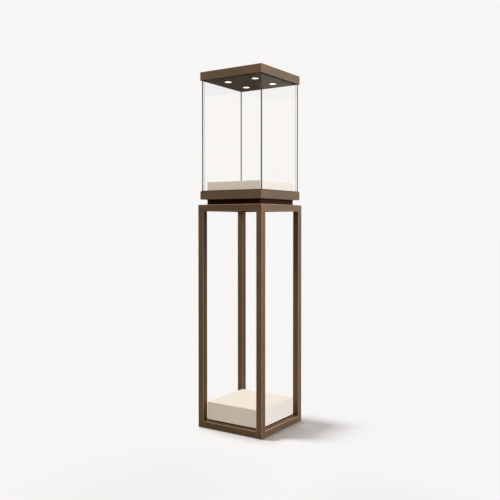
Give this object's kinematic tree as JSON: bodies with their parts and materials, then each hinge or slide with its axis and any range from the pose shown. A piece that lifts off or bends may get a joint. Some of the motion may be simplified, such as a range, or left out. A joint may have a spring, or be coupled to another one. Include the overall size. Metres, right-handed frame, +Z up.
{
  "type": "pedestal display case",
  "caption": "Tall square display case: an open bronze tube frame with a cream plinth block at its foot carries a lift-off glass box with a lit canopy over a cream exhibit block.",
  "frame": {"origin": "on the floor, under the middle of the case", "axes": "+Z up, -Y to the front, +X to the right as seen from the front; the lamp switch is on the back, at +Y"},
  "size_m": [0.35, 0.35, 1.642],
  "materials": {
    "bronze": "satin",
    "dark_bronze": "satin",
    "cream_lacquer": "satin lacquer",
    "stained_board": "matte",
    "clear_glass": "polished",
    "black_rubber": "matte",
    "lit_lens": "frosted",
    "heat_sink_aluminium": "satin",
    "plain_steel": "satin",
    "ballast_iron": "matte",
    "black_plastic": "matte",
    "battery_wrap": "gloss"
  },
  "bodies": {
    "stand": {"bottom_rail_front": "bronze", "bottom_rail_right": "bronze", "bottom_rail_back": "bronze", "bottom_rail_left": "bronze", "top_rail_front": "bronze", "top_rail_right": "bronze", "top_rail_back": "bronze", "top_rail_left": "bronze", "post_front_left": "bronze", "post_front_right": "bronze", "post_back_right": "bronze", "post_back_left": "bronze", "glide_front_left": "black_plastic", "glide_front_right": "black_plastic", "glide_back_right": "black_plastic", "glide_back_left": "black_plastic", "base_plate": "dark_bronze", "block_casing": "cream_lacquer", "block_carcass": "stained_board", "ballast_plate_1": "ballast_iron", "ballast_plate_2": "ballast_iron", "neck_box": "dark_bronze", "tray_shell": "bronze", "tray_bolt_1": "plain_steel", "tray_bolt_2": "plain_steel", "tray_bolt_3": "plain_steel", "tray_bolt_4": "plain_steel", "deck_board": "stained_board", "seat_gasket": "black_rubber", "exhibit_block": "cream_lacquer"},
    "glass_box": {"pane_front": "clear_glass", "pane_right": "clear_glass", "pane_back": "clear_glass", "pane_left": "clear_glass"},
    "canopy": {"canopy_cap": "bronze", "head_gasket": "black_rubber", "soffit_panel": "dark_bronze", "soffit_screw_1": "plain_steel", "soffit_screw_2": "plain_steel", "soffit_screw_3": "plain_steel", "soffit_screw_4": "plain_steel", "lamp_trim_ring_1": "dark_bronze", "lamp_trim_ring_2": "dark_bronze", "lamp_trim_ring_3": "dark_bronze", "lamp_trim_ring_4": "dark_bronze", "lamp_lens_1": "lit_lens", "lamp_lens_2": "lit_lens", "lamp_lens_3": "lit_lens", "lamp_lens_4": "lit_lens", "lamp_heat_sink_1": "heat_sink_aluminium", "lamp_heat_sink_2": "heat_sink_aluminium", "lamp_heat_sink_3": "heat_sink_aluminium", "lamp_heat_sink_4": "heat_sink_aluminium", "battery_pack": "battery_wrap", "driver": "black_plastic", "harness": "black_rubber", "switch_housing": "black_plastic", "switch_nut": "plain_steel"},
    "switch_button": {"switch_button": "plain_steel"}
  },
  "joints": [
    {"name": "glass_lift", "type": "slide", "parent": "stand", "child": "glass_box", "axis": [0, 0, 1], "range_m": [0, 0.56]},
    {"name": "canopy_lift", "type": "slide", "parent": "glass_box", "child": "canopy", "axis": [0, 0, 1], "range_m": [0, 0.15]},
    {"name": "switch_press", "type": "slide", "parent": "canopy", "child": "switch_button", "axis": [0, -1, 0], "range_m": [0, 0.0015], "stiffness_N_per_m": 600, "springref_m": -0.001}
  ]
}
